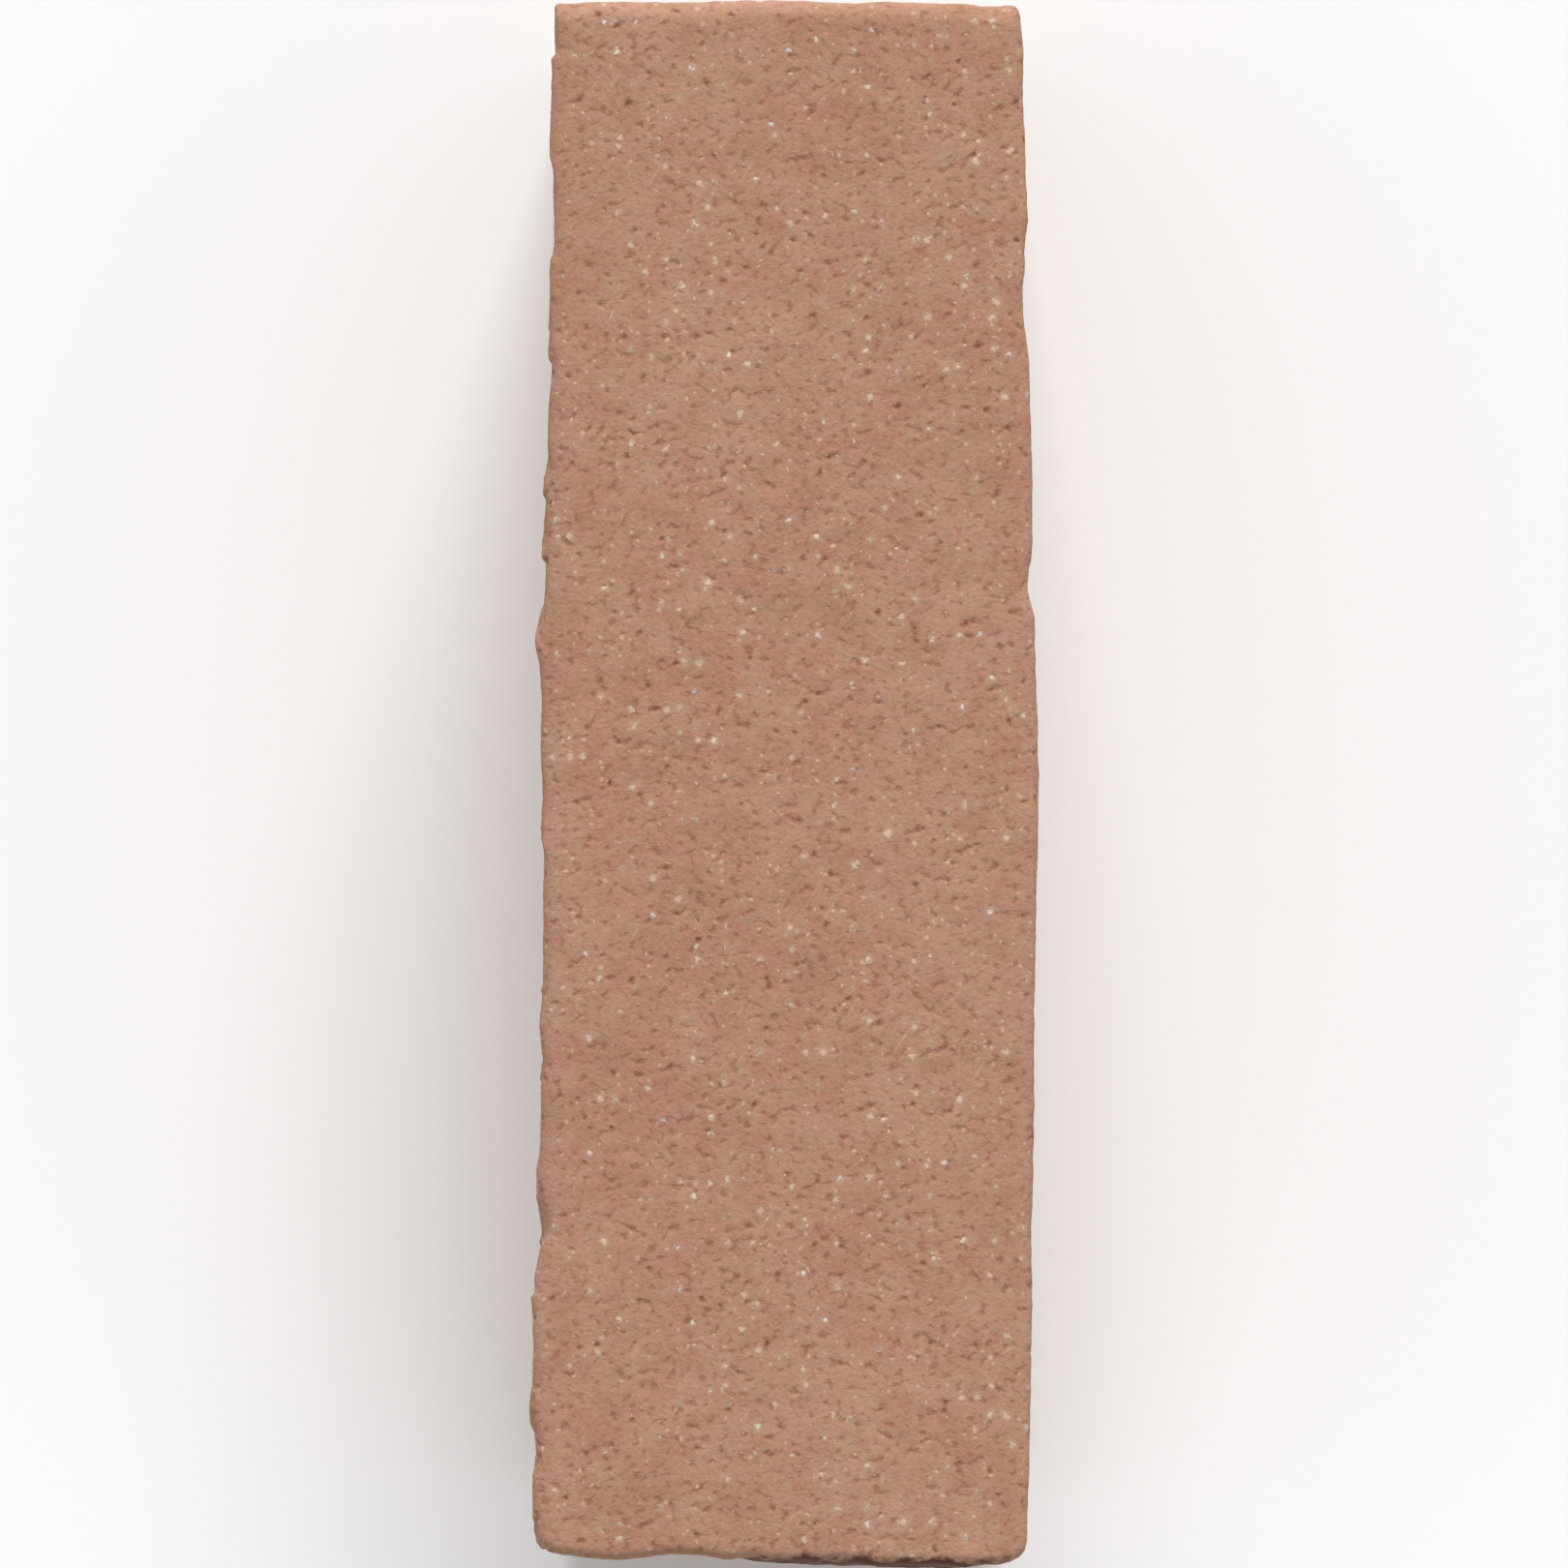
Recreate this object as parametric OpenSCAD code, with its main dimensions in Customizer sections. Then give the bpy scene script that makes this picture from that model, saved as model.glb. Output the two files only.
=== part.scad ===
// Solid fired-clay facing brick, lying on its back with the sand-faced stretcher side up.
// X runs across the course height, Y along the length from foot to head, Z up to the shown face.
// The block has two flat bed faces and two flat ends. Round the shown face a wavy band stands
// proud of them, as pressed clay does before firing, and carries the worn arrises.

/* [Block] */
// Length between the two end faces, along Y
brick_l = 209.2; // [170:0.2:260]
// Depth from the back to the shown face, along Z
brick_d = 100; // [80:1:125]
// Course height between the bed faces at the head end
head_h = 62; // [50:0.5:78]
// Course height between the bed faces at the foot end
foot_h = 65; // [50:0.5:80]
// Sideways run of the centre line from foot to head
lean = 0.7; // [0:0.1:3]
// How far the foot end runs out of square across the course height
foot_skew = 1.4; // [0:0.1:3]

/* [Shown face] */
// Depth over which the wavy band dies away below the shown face
band_d = 46; // [30:1:65]
// How far the foot of the band is tucked into the block
band_tuck = 0.5; // [0.2:0.1:1]
// Least height of the band over the block at the shown face
band_rise = 0.15; // [0.1:0.05:0.5]
// Bow of the right edge at mid length
right_bow = 1.6; // [0:0.1:3]
// Height of a full wave of the edges
wave_h = 1; // [0:0.1:1.6]
// Depth of a full chip out of an arris
chip_h = 1; // [0:0.1:1.5]

/* [Arrises] */
// Arris radius along the right edge of the shown face
right_arris_r = 1.4; // [0.6:0.1:3]
// Arris radius along the head edge of the shown face
head_arris_r = 2.8; // [0.6:0.1:4]
// Arris radius along the left edge of the shown face
left_arris_r = 1.8; // [0.6:0.1:3]
// Arris radius along the foot edge of the shown face
foot_arris_r = 1.6; // [0.6:0.1:3]
// Arris radius round the back
back_arris_r = 1.5; // [0.5:0.1:3]
// Upright corner between the right edge and the head
head_right_r = 1.6; // [0.6:0.1:4]
// Upright corner between the head and the left edge
head_left_r = 0.5; // [0.4:0.1:4]
// Upright corner between the left edge and the foot
foot_left_r = 2.6; // [0.6:0.1:4]
// Upright corner between the foot and the right edge
foot_right_r = 3.2; // [0.6:0.1:4]
// Least corner radius left where an arris is wider than its corner
least_corner_r = 0.4; // [0.2:0.1:0.6]

/* [Smoothness] */
// Steps along a long edge
long_steps = 96; // [36:2:120]
// Steps along a short edge
short_steps = 32; // [12:2:40]
// Steps round a corner
corner_steps = 4; // [2:1:6]
// Steps round an arris
arris_steps = 5; // [3:1:8]

/* [Hidden] */

clay_colour = [0.69, 0.53, 0.44];

half_h = (head_h + foot_h) / 4;
half_l = brick_l / 2;
halves = [half_h, half_l, half_h, half_l];
side_steps = [long_steps, short_steps, long_steps, short_steps];
arris_rs = [right_arris_r, head_arris_r, left_arris_r, foot_arris_r];
corner_rs = [head_right_r, head_left_r, foot_left_r, foot_right_r];
band_z = brick_d - band_d;

// The block stops short of the shown face, inside the band
block_top_share = 0.74;
block_d = band_z + band_d * block_top_share;
// A cutter runs past the edge that it rounds by this much
overrun = back_arris_r;

// Levels up the wall of the band, as shares of its height, and the level where chips begin
wall_shares = [0, 0.3, 0.55, 0.75, 0.88, 1];
chip_start_share = 0.88;

// Waves of the four edges: place along the edge, height over wave_h, reach along the edge.
// Right and left edges run from the head to the foot, head and foot edges from left to right.
right_wave_shares = [
    [0.03, 0.25, 0.025], [0.09, 0.2, 0.04], [0.135, 0.2, 0.03], [0.154, -0.4, 0.014],
    [0.19, -0.75, 0.045], [0.3, 0.1, 0.04], [0.372, -0.55, 0.022], [0.5, 0.45, 0.14],
    [0.655, -0.1, 0.04]
];
head_wave_shares = [[0.12, 0.2, 0.12], [0.45, 0.4, 0.2], [0.72, 0.2, 0.1]];
left_wave_shares = [
    [0, 0.35, 0.06], [0.095, 0.25, 0.06], [0.205, 0.35, 0.035], [0.27, 0.4, 0.05],
    [0.335, 0.35, 0.03], [0.385, 0.8, 0.17], [0.41, 0.8, 0.024], [0.478, 0.25, 0.03],
    [0.535, 0.15, 0.024], [0.6, 0.5, 0.16], [0.66, 0.55, 0.024], [0.71, 0.5, 0.035],
    [0.755, 0.75, 0.045], [0.79, -0.4, 0.018], [0.825, 0.6, 0.035], [0.9, 0.75, 0.2],
    [0.912, 0.45, 0.03]
];
foot_wave_shares = [
    [0.12, 0.55, 0.14], [0.42, 0.5, 0.07], [0.5, 0.9, 0.1], [0.6, 1.05, 0.1], [0.7, 1.1, 0.1],
    [0.8, 1.2, 0.1], [0.88, 0.85, 0.07]
];
wave_shares = [right_wave_shares, head_wave_shares, left_wave_shares, foot_wave_shares];

// Chips out of the arrises: place along the edge, depth over chip_h, reach along the edge
right_chip_shares = [[0.372, 0.4, 0.025], [0.79, 0.3, 0.03]];
head_chip_shares = [[0.94, 0.5, 0.08]];
left_chip_shares = [[0.205, 0.4, 0.03], [0.785, 0.5, 0.028]];
foot_chip_shares = [
    [0.06, 0.4, 0.08], [0.29, 0.5, 0.09], [0.43, 0.9, 0.05], [0.5, 0.8, 0.1], [0.6, 1.15, 0.1],
    [0.7, 0.85, 0.1], [0.8, 1.1, 0.1], [0.88, 0.7, 0.07]
];
chip_shares = [right_chip_shares, head_chip_shares, left_chip_shares, foot_chip_shares];

// Outward direction of each edge: right, head, left, foot, then right again
function out_of(q) = [cos(90 * q), sin(90 * q)];
function mix(a, b, t) = a + (b - a) * t;
function bell(u) = abs(u) < 1 ? (1 + cos(180 * u)) / 2 : 0;
function bells(t, rows) = [for (row = rows) row[1] * bell((t - row[0]) / row[2])] * [for (row = rows) 1];

// Place along edge q of a point of the plain block outline
function along(q, p) = q % 2 == 0 ? 1 / 2 - p[1] / brick_l : 1 / 2 + p[0] / (2 * half_h);
function bow(q, t) = q == 0 ? right_bow * 4 * t * (1 - t) : 0;
function swell(q, p) =
    band_rise + max(0, bow(q, along(q, p)) + wave_h * bells(along(q, p), wave_shares[q]));
function chip(q, p) = chip_h * bells(along(q, p), chip_shares[q]);

// Plan of the real block: tapered, leaning and out of square at the foot
function placed(p) =
    let (t = 1 / 2 - p[1] / brick_l, across = p[0] / half_h)
    [
        lean * (1 / 2 - t) + across * mix(head_h, foot_h, t) / 2,
        p[1] - (p[1] < 0 ? foot_skew * across * -p[1] / brick_l : 0)
    ];

// Rounded outline of the plain block, drawn in by its own inset at each edge.
// Each entry: the point, its edge, and the angle turned towards the next edge.
function corner_r(q, inset) =
    max(corner_rs[q] - max(inset[q], inset[(q + 1) % 4]), least_corner_r);
function corner_mid(q, inset) =
    let (r = corner_r(q, inset), n = (q + 1) % 4)
    out_of(q) * (halves[q] - inset[q] - r) + out_of(n) * (halves[n] - inset[n] - r);
function corner_point(q, inset, turn) =
    corner_mid(q, inset) + corner_r(q, inset) * (out_of(q) * cos(turn) + out_of(q + 1) * sin(turn));
function outline(inset) = [
    for (q = [0:3])
        let (from = corner_point((q + 3) % 4, inset, 90), to = corner_point(q, inset, 0))
        each concat(
            [for (i = [1:side_steps[q] - 1]) [mix(from, to, i / side_steps[q]), q, 0]],
            [
                for (i = [0:corner_steps])
                    let (turn = 90 * i / corner_steps)
                    [corner_point(q, inset, turn), q, turn]
            ]
        )
];

// One ring of the band: its level up the wall, then the angle turned round the arris
function ring(level, turn) = [
    for (at = outline([for (r = arris_rs) r * (1 - cos(turn))]))
        let (
            p = at[0],
            q = at[1],
            n = (q + 1) % 4,
            grown = 1 - pow(1 - level, 2),
            bitten = max(0, (level - chip_start_share) / (1 - chip_start_share)),
            here = mix(-band_tuck, swell(q, p), grown) - chip(q, p) * bitten,
            next = mix(-band_tuck, swell(n, p), grown) - chip(n, p) * bitten,
            r = mix(arris_rs[q], arris_rs[n], at[2] / 90),
            flat = placed(p + out_of(q) * here * cos(at[2]) + out_of(n) * next * sin(at[2]))
        )
        [flat[0], flat[1], mix(band_z, brick_d - r, level) + r * sin(turn)]
];

// Ridge line down the middle of a flat face, one point for each step of a long edge
function ridge(z) = [
    for (i = [0:long_steps])
        let (p = placed([0, mix(half_h - half_l, half_l - half_h, i / long_steps)]))
        [p[0], p[1], z]
];
// The ridge point that each point of a ring looks to
ridge_of = concat(
    [for (i = [1:long_steps - 1]) i],
    [for (i = [1:2 * (corner_steps + 1) + short_steps - 1]) long_steps],
    [for (i = [1:long_steps - 1]) long_steps - i],
    [for (i = [1:2 * (corner_steps + 1) + short_steps - 1]) 0]
);

rings = concat(
    [for (level = wall_shares) ring(level, 0)],
    [for (i = [1:arris_steps]) ring(1, 90 * i / arris_steps)]
);
band_points = concat([for (one = rings) each one], ridge(band_z), ridge(brick_d));
ring_n = len(ridge_of);
low_ridge = len(rings) * ring_n;
high_ridge = low_ridge + long_steps + 1;
top_ring = low_ridge - ring_n;

wall_faces = [
    for (k = [0:len(rings) - 2])
        for (i = [0:ring_n - 1])
            let (a = k * ring_n + i, b = k * ring_n + (i + 1) % ring_n)
            each [[a, b + ring_n, b], [a, a + ring_n, b + ring_n]]
];
cap_faces = [
    for (i = [0:ring_n - 1])
        let (j = (i + 1) % ring_n, s = ridge_of[i], t = ridge_of[j])
        each concat(
            [[i, j, low_ridge + t], [top_ring + j, top_ring + i, high_ridge + t]],
            s == t
                ? []
                : [[i, low_ridge + t, low_ridge + s], [top_ring + i, high_ridge + s, high_ridge + t]]
        )
];

// The part stands over the middle of its own box
box_xs = [for (p = band_points) p[0]];
box_ys = [for (p = band_points) p[1]];
centre = [-(min(box_xs) + max(box_xs)) / 2, -(min(box_ys) + max(box_ys)) / 2, 0];

// Plan of the block with its rounded corners, and the square corners that its edges run between
flush = [0, 0, 0, 0];
block_outline = [
    for (q = [0:3])
        for (i = [0:corner_steps])
            placed(corner_point(q, flush, 90 * i / corner_steps))
];
block_plan = [
    for (q = [0:3])
        placed(out_of(q) * halves[q] + out_of(q + 1) * halves[(q + 1) % 4])
];

// Quarter-round cut along the back arris from one plan corner to the next
module back_arris(from, to) {
    run = to - from;
    turn = atan2(run[1], run[0]);
    translate([from[0], from[1], 0])
        rotate([0, 0, turn])
            rotate([90, 0, 90])
                translate([0, 0, -overrun])
                    linear_extrude(norm(run) + 2 * overrun)
                        difference() {
                            translate([-overrun, -overrun])
                                square(back_arris_r + overrun);
                            translate([back_arris_r, back_arris_r])
                                circle(back_arris_r, $fn = 48);
                        }
}

// Straight block with flat beds, flat ends and a rounded back
module block() {
    difference() {
        linear_extrude(block_d)
            polygon(block_outline);
        for (i = [0:3])
            back_arris(block_plan[i], block_plan[(i + 1) % 4]);
    }
}

// Wavy band that ends in the shown face
module face_band() {
    polyhedron(points = band_points, faces = concat(wall_faces, cap_faces), convexity = 4);
}

module brick() {
    color(clay_colour)
        translate(centre) {
            block();
            face_band();
        }
}

brick();
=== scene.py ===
"""Fired-clay facing brick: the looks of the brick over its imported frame."""

import logging
import math
from dataclasses import dataclass, field
from enum import Enum
from typing import Any, Optional, Union

import bpy
import numpy as np
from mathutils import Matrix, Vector
from mathutils.bvhtree import BVHTree


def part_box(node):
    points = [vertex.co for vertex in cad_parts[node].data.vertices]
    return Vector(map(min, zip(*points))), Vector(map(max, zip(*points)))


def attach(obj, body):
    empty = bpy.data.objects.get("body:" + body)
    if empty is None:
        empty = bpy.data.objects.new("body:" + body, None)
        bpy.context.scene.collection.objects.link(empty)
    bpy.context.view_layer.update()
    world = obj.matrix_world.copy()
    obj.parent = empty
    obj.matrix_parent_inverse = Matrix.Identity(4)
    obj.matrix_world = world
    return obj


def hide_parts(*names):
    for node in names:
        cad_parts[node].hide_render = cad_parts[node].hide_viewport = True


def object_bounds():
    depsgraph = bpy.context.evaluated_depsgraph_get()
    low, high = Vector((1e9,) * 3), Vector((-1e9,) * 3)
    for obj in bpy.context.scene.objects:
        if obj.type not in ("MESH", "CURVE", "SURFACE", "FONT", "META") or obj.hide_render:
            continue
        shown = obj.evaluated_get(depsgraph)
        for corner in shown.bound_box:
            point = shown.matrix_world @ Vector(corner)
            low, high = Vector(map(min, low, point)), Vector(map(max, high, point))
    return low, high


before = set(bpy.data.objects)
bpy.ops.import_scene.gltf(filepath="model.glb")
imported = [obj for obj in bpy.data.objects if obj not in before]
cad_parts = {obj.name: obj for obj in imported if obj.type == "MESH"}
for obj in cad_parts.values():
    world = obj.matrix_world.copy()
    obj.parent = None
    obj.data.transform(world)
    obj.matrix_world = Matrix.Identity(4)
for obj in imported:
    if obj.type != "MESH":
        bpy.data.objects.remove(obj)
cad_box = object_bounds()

log = logging.getLogger("brick")

MM = 0.001
POINT = "clay_point"
FACE_Z = cad_box[1].z / MM
FOOT_Y = cad_box[0].y / MM
Colour = tuple[float, float, float]
Span = tuple[float, float]
Number = Union["Wire", float]


class Side(Enum):
    """The six sides of the brick, each by its axis and direction."""

    RIGHT_BED = (0, 1)
    LEFT_BED = (0, -1)
    HEAD = (1, 1)
    FOOT = (1, -1)
    FACE = (2, 1)
    BACK = (2, -1)


def linear(red: int, green: int, blue: int) -> Colour:
    """Turns a colour as seen on screen into the linear colour that a shader takes.

    Args:
        red: red from 0 to 255.
        green: green from 0 to 255.
        blue: blue from 0 to 255.

    Returns:
        The linear red, green and blue, from 0 to 1.
    """
    def channel(value: int) -> float:
        """One channel of the colour."""
        share = value / 255
        return share / 12.92 if share <= 0.04045 else ((share + 0.055) / 1.055) ** 2.4

    return channel(red), channel(green), channel(blue)


def under_face(depths: Span) -> Span:
    """The two levels that lie at two depths under the shown face, in millimetres."""
    return FACE_Z - depths[0], FACE_Z - depths[1]


def from_foot(distances: Span) -> Span:
    """The two places that lie at two distances from the foot end, in millimetres."""
    return FOOT_Y + distances[0], FOOT_Y + distances[1]


@dataclass(frozen=True)
class Wire:
    """One number in a node tree, with Python's operators as Math nodes."""

    graph: "Graph"
    socket: Any

    def __add__(self, other: Number) -> "Wire":
        """Sum of two numbers."""
        return self.graph.math("ADD", self, other)

    def __radd__(self, other: Number) -> "Wire":
        """Sum of two numbers, the plain one first."""
        return self.graph.math("ADD", other, self)

    def __sub__(self, other: Number) -> "Wire":
        """Difference of two numbers."""
        return self.graph.math("SUBTRACT", self, other)

    def __rsub__(self, other: Number) -> "Wire":
        """Difference of two numbers, the plain one first."""
        return self.graph.math("SUBTRACT", other, self)

    def __mul__(self, other: Number) -> "Wire":
        """Product of two numbers."""
        return self.graph.math("MULTIPLY", self, other)

    def __rmul__(self, other: Number) -> "Wire":
        """Product of two numbers, the plain one first."""
        return self.graph.math("MULTIPLY", other, self)

    def __truediv__(self, other: Number) -> "Wire":
        """Quotient of two numbers."""
        return self.graph.math("DIVIDE", self, other)

    def below(self, edge: Number) -> "Wire":
        """One where this number is under the edge, else zero."""
        return self.graph.math("LESS_THAN", self, edge)

    def ramp(self, low: Number, high: Number) -> "Wire":
        """Eases from zero at one value of this number to one at another.

        Args:
            low: where the ramp is zero.
            high: where the ramp is one; it may be the lower of the two.

        Returns:
            The ramp, held between zero and one.
        """
        node = self.graph.add(
            "ShaderNodeMapRange",
            {"interpolation_type": "SMOOTHSTEP", "clamp": True},
            {"Value": self, "From Min": low, "From Max": high},
        )
        return Wire(self.graph, node.outputs["Result"])


class Graph:
    """A node tree that is written as expressions."""

    def __init__(self, tree: Any) -> None:
        """Keeps the tree and clears it."""
        self.tree = tree
        tree.nodes.clear()

    def add(
        self,
        kind: str,
        settings: Optional[dict[str, Any]] = None,
        sockets: Optional[dict[Union[str, int], Any]] = None,
    ) -> Any:
        """Adds one node.

        Args:
            kind: the node's type.
            settings: its properties, which are set first.
            sockets: values or links of its inputs, by name or by place.

        Returns:
            The node.
        """
        node = self.tree.nodes.new(kind)
        for name, value in (settings or {}).items():
            setattr(node, name, value)
        for key, value in (sockets or {}).items():
            plug = node.inputs[key] if isinstance(key, int) else next(
                s for s in node.inputs if s.name == key and s.enabled
            )
            if isinstance(value, Wire):
                self.tree.links.new(value.socket, plug)
            elif isinstance(value, bpy.types.NodeSocket):
                self.tree.links.new(value, plug)
            else:
                plug.default_value = value
        return node

    def math(self, operation: str, *numbers: Number) -> Wire:
        """One Math node on the numbers given."""
        node = self.add("ShaderNodeMath", {"operation": operation}, dict(enumerate(numbers)))
        return Wire(self, node.outputs["Value"])

    def vector(self, operation: str, *vectors: Any) -> Any:
        """One Vector Math node on the vectors given."""
        node = self.add("ShaderNodeVectorMath", {"operation": operation}, dict(enumerate(vectors)))
        return node.outputs["Vector"]

    def scaled(self, vector: Any, factor: Number) -> Any:
        """A vector times a number."""
        node = self.add("ShaderNodeVectorMath", {"operation": "SCALE"}, {"Vector": vector, "Scale": factor})
        return node.outputs["Vector"]

    def parts(self, vector: Any) -> tuple[Wire, Wire, Wire]:
        """The three numbers of a vector."""
        node = self.add("ShaderNodeSeparateXYZ", None, {"Vector": vector})
        return tuple(Wire(self, s) for s in node.outputs)

    def joined(self, x: Number, y: Number, z: Number) -> Any:
        """A vector of three numbers."""
        return self.add("ShaderNodeCombineXYZ", None, {"X": x, "Y": y, "Z": z}).outputs["Vector"]

    def blend(self, factor: Number, first: Any, second: Any) -> Any:
        """Mixes two colours.

        Args:
            factor: share of the second colour.
            first: the colour underneath, as a link or three numbers.
            second: the colour on top, as a link or three numbers.

        Returns:
            The mixed colour's socket.
        """
        def filled(colour: Any) -> Any:
            """A plain colour with its alpha, or the link as it is."""
            return (*colour, 1.0) if isinstance(colour, tuple) else colour

        node = self.add(
            "ShaderNodeMix",
            {"data_type": "RGBA", "blend_type": "MIX", "clamp_result": False},
            {"Factor": factor, "A": filled(first), "B": filled(second)},
        )
        return next(s for s in node.outputs if s.enabled)

    def noise(self, point: Any, size: float, detail: float, rough: float) -> Wire:
        """Soft noise about zero.

        Args:
            point: place, in millimetres.
            size: size of its lumps in millimetres.
            detail: octaves of finer noise.
            rough: strength of each finer octave.

        Returns:
            The noise, roughly from -0.5 to 0.5.
        """
        node = self.add(
            "ShaderNodeTexNoise",
            {"noise_dimensions": "3D", "normalize": True},
            {"Vector": point, "Scale": 1 / size, "Detail": detail, "Roughness": rough},
        )
        return Wire(self, node.outputs[0]) - 0.5

    def cells(self, point: Any, spacing: float) -> tuple[Wire, tuple[Wire, Wire, Wire]]:
        """Scatters points through space.

        Args:
            point: place, in millimetres.
            spacing: mean distance between neighbours in millimetres.

        Returns:
            Distance to the nearest scattered point in millimetres, and three numbers drawn for it.
        """
        node = self.add(
            "ShaderNodeTexVoronoi",
            {"voronoi_dimensions": "3D", "feature": "F1", "distance": "EUCLIDEAN"},
            {"Vector": point, "Scale": 1 / spacing, "Randomness": 1.0},
        )
        dice = self.parts(node.outputs["Color"])
        return Wire(self, node.outputs["Distance"]) * spacing, dice


@dataclass(frozen=True)
class Cloud:
    """One soft unevenness of the clay: its size in millimetres, its finer octaves and their strength."""

    size: float
    detail: float = 2.0
    rough: float = 0.5

    def draw(self, graph: Graph, point: Any) -> Wire:
        """Draws it about zero, at a place in millimetres."""
        return graph.noise(point, self.size, self.detail, self.rough)


@dataclass(frozen=True)
class Film:
    """A thin broken film of another colour: its cloud, the values it fades in between and its cover."""

    cloud: Cloud
    edge: Span
    cover: float

    def draw(self, graph: Graph, point: Any) -> Wire:
        """Draws the share of the film that shows, at a place in millimetres."""
        return self.cloud.draw(graph, point).ramp(*self.edge) * self.cover


@dataclass(frozen=True)
class Spots:
    """Scattered grains as drawn at a place: how far the nearest is, its radius, presence and tone."""

    distance: Wire
    radius: Wire
    present: Wire
    tone: Wire

    def within(self, outer: float, inner: float) -> Wire:
        """A mask that rises from zero to one between two shares of each grain's radius."""
        return self.distance.ramp(self.radius * outer, self.radius * inner) * self.present


@dataclass(frozen=True)
class Scatter:
    """One size of grain that is scattered through the clay, in millimetres."""

    spacing: float
    share: float
    least: float
    most: float

    def draw(self, graph: Graph, point: Any, ragged: Wire) -> Spots:
        """Draws the scatter.

        Args:
            graph: the tree to draw in.
            point: place, in millimetres.
            ragged: how far the edges of the grains run in there, in millimetres.

        Returns:
            The grains.
        """
        distance, (chance, size, tone) = graph.cells(point, self.spacing)
        radius = self.least + (self.most - self.least) * size
        return Spots(distance + ragged, radius, chance.below(self.share), tone)


@dataclass(frozen=True)
class Marks:
    """Masks of what the clay shows at a place."""

    shallow: Wire
    deep: Wire
    grain: Wire
    halo: Wire
    tone: Wire
    crumb: Wire
    grit: Wire


@dataclass(frozen=True)
class ClayBody:
    """Grain of the clay: what lies where, in millimetres, for the relief and for the colour alike.

    An edge holds the two values between which a mark fades in. The edges of grains and crumbs are shares of
    their radius, and a reach is a pair of depths under the shown face.
    """

    grain: Scatter = Scatter(spacing=2.1, share=0.5, least=0.15, most=0.62)
    grain_edge: Span = (1.0, 0.3)
    grain_stand: float = 0.06
    halo_edge: Span = (2.4, 0.7)
    crumb: Scatter = Scatter(spacing=1.25, share=0.5, least=0.12, most=0.36)
    crumb_edge: Span = (1.0, 0.2)
    grit: Cloud = Cloud(size=0.62, rough=0.65)
    ragged: float = 1.6
    pit: Cloud = Cloud(size=1.05, rough=0.4)
    pit_lean: float = math.radians(14)
    pit_stretch: float = 1.12
    pit_edge: Span = (-0.03, -0.22)
    pit_depth: float = 0.08
    hollow_edge: Span = (-0.2, -0.29)
    hollow_depth: float = 0.16
    lump: Cloud = Cloud(size=3.4)
    lump_height: float = 0.3
    swell: Cloud = Cloud(size=18.0, detail=1.0)
    swell_height: float = 0.3
    plain_reach: Span = (55.0, 3.0)
    plain_share: float = 0.3
    fray: Cloud = Cloud(size=2.6)
    fray_height: float = 0.4
    fray_reach: Span = (18.0, 3.0)
    flake: Cloud = Cloud(size=15.0)
    flake_edge: Span = (0.0, 0.04)
    flake_facing: Span = (-0.3, -0.8)
    flake_height: float = 0.55

    def turned(self, graph: Graph, point: Any, lean: float, stretch: float) -> Any:
        """Turns places about the upright axis, so that marks drawn there lie along a lean.

        Args:
            graph: the tree to draw in.
            point: place, in millimetres.
            lean: angle of the marks from the course height's axis, in radians.
            stretch: how many times longer than wide they are.

        Returns:
            The turned place.
        """
        x, y, z = graph.parts(point)
        along = x * math.cos(lean) + y * math.sin(lean)
        across = y * math.cos(lean) - x * math.sin(lean)
        return graph.joined(along / stretch, across, z)

    def marks(self, graph: Graph, point: Any) -> Marks:
        """Draws the pits, the grains and the crumbs.

        Args:
            graph: the tree to draw in.
            point: place, in millimetres.

        Returns:
            Their masks.
        """
        grit = self.grit.draw(graph, point)
        grain = self.grain.draw(graph, point, grit * self.ragged)
        crumb = self.crumb.draw(graph, point, grit * self.ragged)
        pit = self.pit.draw(graph, self.turned(graph, point, self.pit_lean, self.pit_stretch))
        return Marks(
            shallow=pit.ramp(*self.pit_edge),
            deep=pit.ramp(*self.hollow_edge),
            grain=grain.within(*self.grain_edge),
            halo=grain.within(*self.halo_edge),
            tone=grain.tone,
            crumb=crumb.within(*self.crumb_edge),
            grit=grit,
        )

    def level(self, graph: Graph, point: Any, normal: Any) -> Wire:
        """Height of the clay over the plain solid, in millimetres.

        Args:
            graph: the tree to draw in.
            point: place, in millimetres.
            normal: the way that the plain solid faces there.

        Returns:
            The height.
        """
        marks = self.marks(graph, point)
        z = graph.parts(point)[2]
        across, _, rise = graph.parts(normal)
        strength = z.ramp(*under_face(self.plain_reach)) * (1 - self.plain_share) + self.plain_share
        wall = z.ramp(*under_face(self.fray_reach)) * (1 - rise * rise)
        flake = self.flake.draw(graph, point).ramp(*self.flake_edge) * across.ramp(*self.flake_facing)
        return strength * (
            self.swell.draw(graph, point) * self.swell_height
            + self.lump.draw(graph, point) * self.lump_height
            - marks.shallow * self.pit_depth
            - marks.deep * self.hollow_depth
            + marks.grain * self.grain_stand
            + (self.fray.draw(graph, point) * self.fray_height + flake * self.flake_height) * wall
        )


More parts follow.
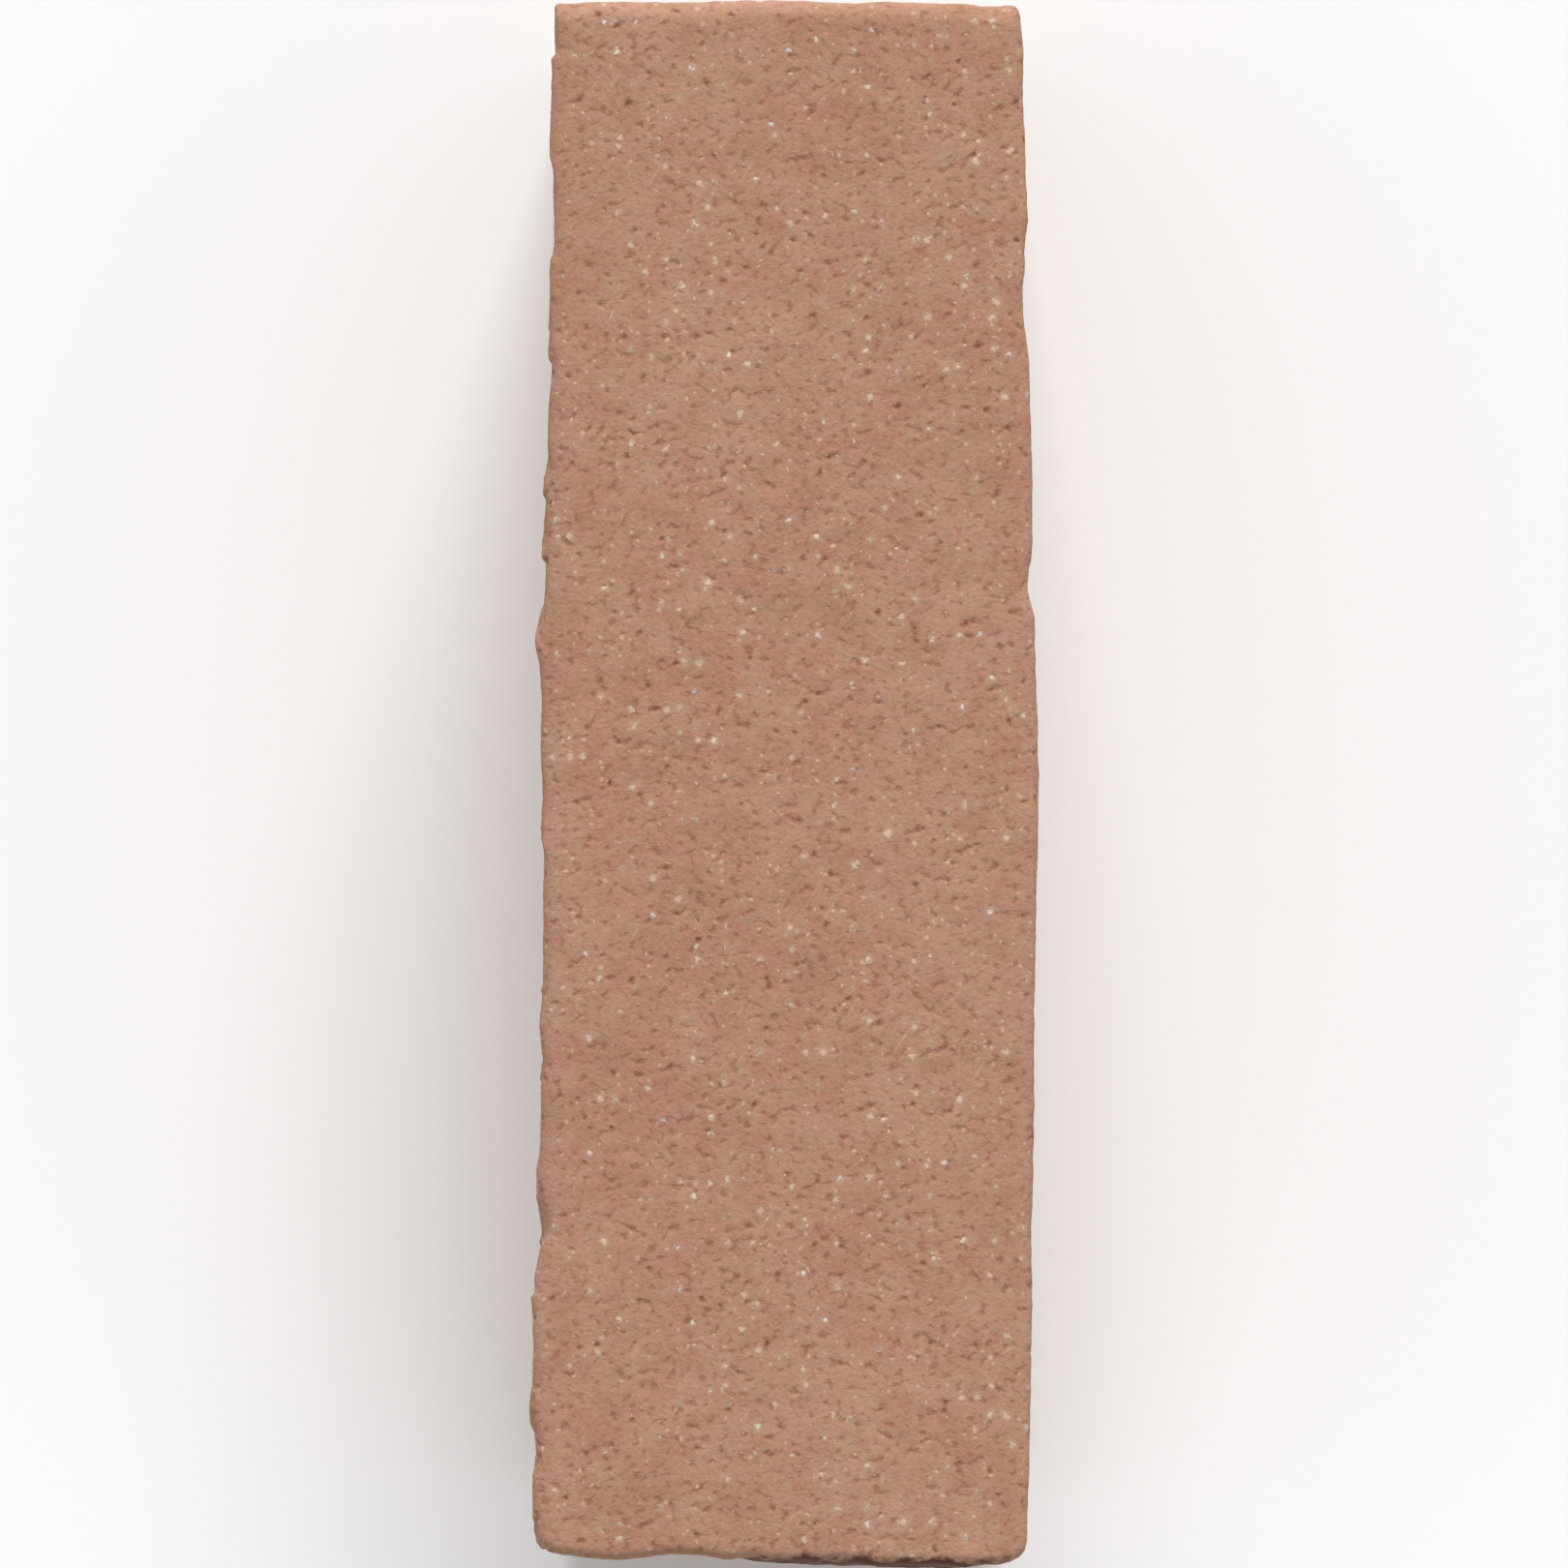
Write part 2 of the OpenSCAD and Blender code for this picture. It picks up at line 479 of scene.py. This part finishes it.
@dataclass(frozen=True)
class FiredClay:
    """Finish of the fired clay: its colours and how rough it is, with places in millimetres.

    An edge holds the two values between which a mark fades in, and a cover is the most that a colour shows.
    A light brightens or darkens the clay, a tone moves it between rose and dusty, a bump lifts or sinks it,
    and a wander is how far noise moves an edge.
    """

    name: str = "fired_clay"
    rose: Colour = linear(186, 135, 112)
    dusty: Colour = linear(182, 139, 117)
    straw: Colour = linear(181, 138, 110)
    # Painted shade: the darker colours of the pits' sides and bases.
    pit_side_shade: Colour = linear(157, 106, 84)
    pit_base_shade: Colour = linear(134, 87, 67)
    # Painted shade: colour of the broken strip along the foot edge.
    foot_shade: Colour = linear(84, 46, 38)
    cream: Colour = linear(222, 190, 166)
    # Near-white of the whitest grains: partly their own colour and partly a painted glint.
    white_grain_glint: Colour = linear(240, 239, 232)
    sage: Colour = linear(186, 165, 143)
    gain: float = 0.823
    roughness: float = 0.88
    grit_roughness: float = 0.2
    grain_polish: float = 0.12
    shine: float = 0.25
    mottle: Cloud = Cloud(size=5.5, detail=3.0, rough=0.65)
    mottle_light: float = 0.4
    patch: Cloud = Cloud(size=34.0, detail=1.0)
    patch_tone: float = 0.4
    patch_light: float = 0.16
    dusty_edge: Span = (-0.14, 0.1)
    straw_film: Film = Film(Cloud(size=7.0, detail=3.0, rough=0.65), edge=(-0.08, 0.14), cover=0.7)
    straw_shift: tuple[float, float, float] = (310.0, 0.0, 0.0)
    sage_film: Film = Film(Cloud(size=1.9, detail=1.0), edge=(0.1, 0.26), cover=0.25)
    streak_film: Film = Film(Cloud(size=0.5, detail=0.0), edge=(0.2, 0.36), cover=0.16)
    streak_lean: float = math.radians(58)
    streak_stretch: float = 16.0
    halo_cover: float = 0.3
    # Cover of the painted shade in the pits and the bump of the pits, for their sides and then their bases.
    pit_side_shade_cover: float = 0.72
    wall_bump: float = 0.05
    pit_base_shade_cover: float = 0.7
    floor_bump: float = 0.04
    grain_cover: float = 0.85
    cream_edge: Span = (0.2, 0.6)
    white_grain_glint_edge: Span = (0.6, 0.85)
    glint_edge: Span = (0.02, -0.1)
    crumb_cover: float = 0.65
    # Fine grit brightness: random tone, and painted shade that lightens raised grit and darkens its
    # hollows.
    grit_tone_and_shade: float = 0.44
    grit_bump: float = 0.15
    warm_centre: tuple[float, float] = (-14.0, 0.0)
    warm_size: tuple[float, float] = (26.0, 54.0)
    warm_edge: Span = (1.6, 0.2)
    warm_wander: float = 3.0
    warm_tone: float = 0.065
    warm_light: float = 0.014
    # Where the painted shade along the foot edge lies, and how broken its edge is.
    foot_shade_left: Span = (-9.0, -4.0)
    foot_shade_right: Span = (31.0, 25.0)
    foot_shade_from_foot: Span = (2.545, 1.445)
    foot_shade_depth: Span = (22.0, 5.0)
    foot_shade_wander: tuple[float, float, float] = (24.0, 8.0, 50.0)
    foot_shade_cover: float = 0.92
    foot_shade_unrest: float = 0.8

    def foot_shaded(self, graph: Graph, point: Any, ragged: Wire) -> Wire:
        """Painted shade: a dark broken strip along the right part of the foot edge, where the broken end
        lies in shadow.

        Args:
            graph: the tree to draw in.
            point: place, in millimetres.
            ragged: noise that breaks up the strip's edge.

        Returns:
            The strip's mask.
        """
        x, y, z = (
            place + ragged * wander for place, wander in zip(graph.parts(point), self.foot_shade_wander)
        )
        across = x.ramp(*self.foot_shade_left) * x.ramp(*self.foot_shade_right)
        down = z.ramp(*under_face(self.foot_shade_depth))
        cover = self.foot_shade_cover + ragged * self.foot_shade_unrest
        return y.ramp(*from_foot(self.foot_shade_from_foot)) * across * down * cover

    def warmth(self, graph: Graph, point: Any, ragged: Wire) -> Wire:
        """Broad soft zone left of the middle, where the clay fired redder and a little darker.

        Args:
            graph: the tree to draw in.
            point: place, in millimetres.
            ragged: noise that breaks up the zone's edge.

        Returns:
            The zone's mask.
        """
        x, y, _ = graph.parts(point)
        across = (x - self.warm_centre[0]) / self.warm_size[0]
        along = (y - self.warm_centre[1]) / self.warm_size[1]
        return (across * across + along * along + ragged * self.warm_wander).ramp(*self.warm_edge)

    def ground(self, graph: Graph, point: Any, clay: ClayBody, marks: Marks, tone: Wire) -> Any:
        """Colour of the open clay, with its thin films and the soft surrounds of the grains.

        Args:
            graph: the tree to draw in.
            point: place, in millimetres.
            clay: the grain of the clay.
            marks: what the clay shows there.
            tone: which of the two tones of clay lies there, about zero.

        Returns:
            The colour's socket.
        """
        shifted = graph.vector("ADD", point, self.straw_shift)
        dragged = clay.turned(graph, point, self.streak_lean, self.streak_stretch)
        halo = marks.halo * marks.tone.ramp(*self.cream_edge) * self.halo_cover
        colour = graph.blend(tone.ramp(*self.dusty_edge), self.rose, self.dusty)
        colour = graph.blend(self.straw_film.draw(graph, shifted), colour, self.straw)
        colour = graph.blend(self.sage_film.draw(graph, point), colour, self.sage)
        colour = graph.blend(halo, colour, self.sage)
        return graph.blend(self.streak_film.draw(graph, dragged), colour, self.cream)

    def speckled(self, graph: Graph, ground: Any, marks: Marks) -> Any:
        """Lays the pits, the grains and the crumbs on the open clay, with painted shade in the pits and
        painted glints on the whitest grains.

        Args:
            graph: the tree to draw in.
            ground: colour of the open clay.
            marks: what the clay shows there.

        Returns:
            The colour's socket.
        """
        open_clay = 1 - marks.deep
        # Painted glint: where the fine grit rises, the whitest grains turn near white, over their own pale
        # colour.
        glint = marks.tone.ramp(*self.white_grain_glint_edge) * marks.grit.ramp(*self.glint_edge)
        pale = graph.blend(marks.tone.ramp(*self.cream_edge), self.sage, self.cream)
        pale = graph.blend(glint, pale, self.white_grain_glint)
        # Painted shade: darkens the pits' sides and, deeper, their bases.
        colour = graph.blend(marks.shallow * self.pit_side_shade_cover, ground, self.pit_side_shade)
        colour = graph.blend(marks.deep * self.pit_base_shade_cover, colour, self.pit_base_shade)
        colour = graph.blend(marks.grain * self.grain_cover * open_clay, colour, pale)
        return graph.blend(marks.crumb * self.crumb_cover * open_clay, colour, self.cream)

    def build(self, clay: ClayBody) -> Any:
        """Makes the material.

        Args:
            clay: the grain of the clay.

        Returns:
            The material.
        """
        material = bpy.data.materials.new(self.name)
        material.use_nodes = True
        graph = Graph(material.node_tree)
        point = graph.add("ShaderNodeAttribute", {"attribute_name": POINT}).outputs["Vector"]
        marks = clay.marks(graph, point)
        mottle = self.mottle.draw(graph, point)
        patch = self.patch.draw(graph, point)
        warmth = self.warmth(graph, point, patch)
        tone = mottle + patch * self.patch_tone - warmth * self.warm_tone
        colour = self.ground(graph, point, clay, marks, tone)
        colour = self.speckled(graph, colour, marks)
        # Painted shade: darkens the broken strip along the right part of the foot edge.
        colour = graph.blend(self.foot_shaded(graph, point, mottle), colour, self.foot_shade)
        # Brightness from random tone; the grit term is also painted shade on the fine relief, raised grit
        # lighter and its hollows darker.
        light = 1 + marks.grit * self.grit_tone_and_shade + mottle * self.mottle_light
        light = light + patch * self.patch_light - warmth * self.warm_light
        relief = marks.grit * self.grit_bump - marks.shallow * self.wall_bump - marks.deep * self.floor_bump
        bump = graph.add("ShaderNodeBump", None, {"Strength": 1.0, "Distance": MM, "Height": relief})
        rough = self.roughness + marks.grit * self.grit_roughness - marks.grain * self.grain_polish
        shader = graph.add(
            "ShaderNodeBsdfPrincipled",
            None,
            {
                "Base Color": graph.scaled(colour, self.gain * light),
                "Roughness": rough,
                "Normal": bump.outputs["Normal"],
                "Specular IOR Level": self.shine,
            },
        )
        graph.add("ShaderNodeOutputMaterial", None, {"Surface": shader.outputs["BSDF"]})
        return material


@dataclass(frozen=True)
class Chart:
    """Where one side of the brick lies on the sheet that its colours are kept on, in texels."""

    side: Side
    left: float
    bottom: float


@dataclass
class Brick:
    """The whole brick: one fired piece that stands for the frame's only node.

    Lengths are in metres, places on the colour sheet in texels, and its scales in texels to the millimetre.
    """

    name: str = "fired_clay_brick"
    node: str = "brick"
    body: str = "root"
    slot: str = "fired_clay"
    face_step: float = 0.34 * MM
    rows: int = 80
    row_bend: float = 1.35
    back_rows: tuple[float, ...] = (0.0, 0.3 * MM, 0.7 * MM, 1.2 * MM, 1.8 * MM, 2.6 * MM)
    back_clear: float = 1.3
    rim_drop: float = 4 * MM
    rim_inset: float = 6 * MM
    rim_start: float = 1.0
    triangles: int = 190_000
    sheet: float = 1024.0
    face_texels: float = 4.6
    side_texels: float = 2.45
    charts: tuple[Chart, ...] = (
        Chart(Side.FACE, left=8, bottom=8),
        Chart(Side.LEFT_BED, left=8, bottom=332),
        Chart(Side.HEAD, left=535, bottom=332),
        Chart(Side.FOOT, left=714, bottom=332),
        Chart(Side.RIGHT_BED, left=8, bottom=589),
        Chart(Side.BACK, left=8, bottom=846),
    )
    clay: ClayBody = field(default_factory=ClayBody)
    finish: FiredClay = field(default_factory=FiredClay)

    def heights(self, top: float) -> np.ndarray:
        """Levels of the side rows, close together at the shown face and at the back.

        Args:
            top: level of the shown face.

        Returns:
            The levels from the back to the shown face.
        """
        levels = top * (1 - np.linspace(0, 1, self.rows + 1) ** self.row_bend)
        above = levels[levels > self.back_rows[-1] * self.back_clear]
        return np.concatenate([self.back_rows, above[::-1]])

    def rims(self, tree: BVHTree, places: np.ndarray, axis: int, level: float) -> np.ndarray:
        """Finds the outline on both sides of the brick, just below the shown face.

        Args:
            tree: the frame's solid.
            places: places along the other plan axis.
            axis: plan axis that is looked along.
            level: height at which it is looked.

        Returns:
            One row for each place: the low and the high outline, held level near the corners.
        """
        inner = places[np.abs(places) < np.abs(places).max() - self.rim_inset]
        found = np.zeros((len(inner), 2))
        for row, place in enumerate(inner):
            for column, way in enumerate((1, -1)):
                start = Vector((place, place, level))
                start[axis] = -way * self.rim_start
                aim = Vector((0, 0, 0))
                aim[axis] = way
                found[row, column] = tree.ray_cast(start, aim)[0][axis]
        return np.stack([np.interp(places, inner, found[:, column]) for column in range(2)], 1)

    def lattice(self, node: Any) -> Any:
        """Lays a close grid over the frame's solid.

        Args:
            node: the frame's node.

        Returns:
            A mesh of quads that follows the solid.
        """
        low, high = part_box(self.node)
        tree = BVHTree.FromObject(node, bpy.context.evaluated_depsgraph_get())
        nx = round((high.x - low.x) / self.face_step)
        ny = round((high.y - low.y) / self.face_step)
        u, v = np.linspace(0, 1, nx + 1), np.linspace(0, 1, ny + 1)
        zs = self.heights(high.z)
        nz = len(zs) - 1
        sides = self.rims(tree, low.y + (high.y - low.y) * v, 0, high.z - self.rim_drop)
        ends = self.rims(tree, low.x + (high.x - low.x) * u, 1, high.z - self.rim_drop)
        plan_x = sides[None, :, 0] + (sides[:, 1] - sides[:, 0])[None, :] * u[:, None]
        plan_y = ends[:, None, 0] + (ends[:, 1] - ends[:, 0])[:, None] * v[None, :]
        quads = np.concatenate([self.patch(side, nx, ny, nz) for side in Side])
        codes, index = np.unique(quads, return_inverse=True)
        i, j, k = codes // ((ny + 1) * (nz + 1)), codes // (nz + 1) % (ny + 1), codes % (nz + 1)
        spots = np.stack([plan_x[i, j], plan_y[i, j], zs[k]], 1)
        spots = [tree.find_nearest(spot)[0] for spot in spots.tolist()]
        mesh = bpy.data.meshes.new(self.name + "_grid")
        mesh.from_pydata(spots, [], index.reshape(-1, 4).tolist())
        mesh.update()
        return mesh

    @staticmethod
    def patch(side: Side, nx: int, ny: int, nz: int) -> np.ndarray:
        """Quads of one side of the grid.

        Args:
            side: the side.
            nx: cells across the course height.
            ny: cells along the length.
            nz: cells up the depth.

        Returns:
            Four lattice codes for each quad, in order round it as seen from outside.
        """
        axis, way = side.value
        counts = (nx, ny, nz)
        first, second = [a for a in range(3) if a != axis]
        a, b = np.meshgrid(np.arange(counts[first]), np.arange(counts[second]), indexing="ij")
        a, b = a.ravel(), b.ravel()
        corners = []
        for da, db in ((0, 0), (1, 0), (1, 1), (0, 1)):
            place = [None, None, None]
            place[axis] = np.full_like(a, counts[axis] if way > 0 else 0)
            place[first], place[second] = a + da, b + db
            corners.append(place[0] * (ny + 1) * (nz + 1) + place[1] * (nz + 1) + place[2])
        quads = np.stack(corners, 1)
        outward = (way > 0) == (axis != 1)
        return quads if outward else quads[:, ::-1]

    def relief(self) -> Any:
        """Makes the nodes that keep each point's place and then press the clay's relief into the mesh.

        Returns:
            The node group.
        """
        tree = bpy.data.node_groups.new("clay_relief", "GeometryNodeTree")
        tree.interface.new_socket("Geometry", in_out="INPUT", socket_type="NodeSocketGeometry")
        tree.interface.new_socket("Geometry", in_out="OUTPUT", socket_type="NodeSocketGeometry")
        graph = Graph(tree)
        start = graph.add("NodeGroupInput").outputs["Geometry"]
        place = graph.add("GeometryNodeInputPosition").outputs["Position"]
        point = graph.scaled(place, 1 / MM)
        kept = graph.add(
            "GeometryNodeStoreNamedAttribute",
            {"data_type": "FLOAT_VECTOR", "domain": "POINT"},
            {"Geometry": start, "Name": POINT, "Value": point},
        )
        normal = graph.add("GeometryNodeInputNormal").outputs["Normal"]
        offset = graph.scaled(normal, self.clay.level(graph, point, normal) * MM)
        moved = graph.add(
            "GeometryNodeSetPosition", None, {"Geometry": kept.outputs["Geometry"], "Offset": offset}
        )
        graph.add("NodeGroupOutput", None, {"Geometry": moved.outputs["Geometry"]})
        return tree

    def unfold(self, mesh: Any) -> None:
        """Lays each side of the brick flat on the colour sheet, the shown face at the largest scale.

        Args:
            mesh: the brick's mesh of triangles.
        """
        points = np.empty(len(mesh.vertices) * 3, np.float32)
        mesh.attributes[POINT].data.foreach_get("vector", points)
        corners = np.empty(len(mesh.loops), np.int32)
        mesh.loops.foreach_get("vertex_index", corners)
        corners = points.reshape(-1, 3)[corners].reshape(-1, 3, 3)
        normals = np.cross(corners[:, 1] - corners[:, 0], corners[:, 2] - corners[:, 0])
        axes = np.abs(normals).argmax(1)
        ways = np.sign(np.take_along_axis(normals, axes[:, None], 1)[:, 0])
        low = points.reshape(-1, 3).min(0)
        places = np.zeros((len(corners), 3, 2), np.float32)
        for chart in self.charts:
            axis, way = chart.side.value
            ours = (axes == axis) & ((ways > 0) == (way > 0))
            flat = [0 if axis == 1 else 1, 0 if axis == 2 else 2]
            texels = self.face_texels if chart.side is Side.FACE else self.side_texels
            places[ours] = (corners[ours][..., flat] - low[flat]) * texels + (chart.left, chart.bottom)
        sheet = mesh.uv_layers.new(name="OFBake")
        sheet.data.foreach_set("uv", (places / self.sheet).ravel())

    def build(self, node: Any) -> Any:
        """Makes the brick and sets it on the frame.

        Args:
            node: the frame's node that the brick stands for.

        Returns:
            The brick.
        """
        rough = bpy.data.objects.new(self.name + "_rough", self.lattice(node))
        bpy.context.scene.collection.objects.link(rough)
        rough.modifiers.new("relief", "NODES").node_group = self.relief()
        thin = rough.modifiers.new("thin", "DECIMATE")
        thin.ratio = min(1.0, self.triangles / (2 * len(rough.data.polygons)))
        thin.use_collapse_triangulate = True
        depsgraph = bpy.context.evaluated_depsgraph_get()
        mesh = bpy.data.meshes.new_from_object(
            rough.evaluated_get(depsgraph), preserve_all_data_layers=True, depsgraph=depsgraph
        )
        mesh.name = self.name
        bpy.data.objects.remove(rough)
        mesh.shade_smooth()
        self.unfold(mesh)
        brick = bpy.data.objects.new(self.name, mesh)
        bpy.context.scene.collection.objects.link(brick)
        mesh.materials.append(self.finish.build(self.clay))
        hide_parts(self.node)
        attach(brick, self.body)
        return brick


@dataclass(frozen=True)
class FloorPaint:
    """Finish of the studio's floor: one pale grey."""

    name: str = "pale_floor"
    shade: float = 0.86
    roughness: float = 0.9
    shine: float = 0.1

    def build(self) -> Any:
        """Makes the material.

        Returns:
            The material.
        """
        material = bpy.data.materials.new(self.name)
        material.use_nodes = True
        graph = Graph(material.node_tree)
        grey = (self.shade, self.shade, self.shade, 1.0)
        shader = graph.add(
            "ShaderNodeBsdfPrincipled",
            None,
            {"Base Color": grey, "Roughness": self.roughness, "Specular IOR Level": self.shine},
        )
        graph.add("ShaderNodeOutputMaterial", None, {"Surface": shader.outputs["BSDF"]})
        return material


@dataclass
class Studio:
    """Plain pale floor, soft light and a camera that looks straight down at the shown face.

    Lengths are in metres, the lens and its sensor in millimetres, and values named px in picture pixels.
    """

    floor_side: float = 6.0
    floor_paint: FloorPaint = field(default_factory=FloorPaint)
    fill: float = 0.58
    key_strength: float = 3.4
    key_spread: float = math.radians(30)
    key_height: float = math.radians(32)
    key_turn: float = math.radians(5)
    lens: float = 200.0
    sensor: float = 36.0
    frame_px: float = 1620.0
    brick_px: float = 1627.0
    centre_px: tuple[float, float] = (811.6, 811.7)

    def floor(self) -> Any:
        """Lays the floor.

        Returns:
            The floor.
        """
        half = self.floor_side / 2
        corners = [(-half, -half, 0), (half, -half, 0), (half, half, 0), (-half, half, 0)]
        mesh = bpy.data.meshes.new("floor")
        mesh.from_pydata(corners, [], [(0, 1, 2, 3)])
        mesh.materials.append(self.floor_paint.build())
        floor = bpy.data.objects.new("floor", mesh)
        bpy.context.scene.collection.objects.link(floor)
        return floor

    def lights(self) -> Any:
        """Hangs the key light and sets the even fill.

        Returns:
            The key light.
        """
        world = bpy.data.worlds.new("studio")
        bpy.context.scene.world = world
        world.use_nodes = True
        graph = Graph(world.node_tree)
        white = (1.0, 1.0, 1.0, 1.0)
        sky = graph.add("ShaderNodeBackground", None, {"Color": white, "Strength": self.fill})
        graph.add("ShaderNodeOutputWorld", None, {"Surface": sky.outputs["Background"]})
        lamp = bpy.data.lights.new("key", "SUN")
        lamp.energy = self.key_strength
        lamp.angle = self.key_spread
        key = bpy.data.objects.new("key", lamp)
        key.rotation_euler = (self.key_height - math.pi / 2, 0, -self.key_turn)
        bpy.context.scene.collection.objects.link(key)
        return key

    def camera(self, low: Vector, high: Vector) -> Any:
        """Sets the camera over the shown face.

        Args:
            low: lowest corner of the brick.
            high: highest corner of the brick.

        Returns:
            The camera.
        """
        lens = bpy.data.cameras.new("camera")
        lens.lens = self.lens
        lens.sensor_width = self.sensor
        span = (high.y - low.y) * self.frame_px / self.brick_px
        distance = span * self.lens / self.sensor
        pixel = span / self.frame_px
        middle = self.frame_px / 2
        camera = bpy.data.objects.new("camera", lens)
        camera.location = (
            (low.x + high.x) / 2 + (middle - self.centre_px[0]) * pixel,
            (low.y + high.y) / 2 + (self.centre_px[1] - middle) * pixel,
            high.z + distance,
        )
        camera.rotation_euler = (0, 0, 0)
        bpy.context.scene.collection.objects.link(camera)
        bpy.context.scene.camera = camera
        return camera

    def build(self, low: Vector, high: Vector) -> None:
        """Sets up the studio round the brick.

        Args:
            low: lowest corner of the brick.
            high: highest corner of the brick.
        """
        self.floor()
        self.lights()
        self.camera(low, high)
        bpy.context.scene.view_settings.view_transform = "Standard"


def main() -> None:
    """Builds the brick and the studio, and logs the brick's count of faces and points."""
    logging.basicConfig(level=logging.INFO, format="%(name)s: %(message)s")
    brick = Brick().build(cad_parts["brick"])
    log.info("%s: %d faces, %d points", brick.name, len(brick.data.polygons), len(brick.data.vertices))
    Studio().build(*cad_box)
    log.info("studio: floor, key light and camera")


if __name__ == "__main__":
    main()
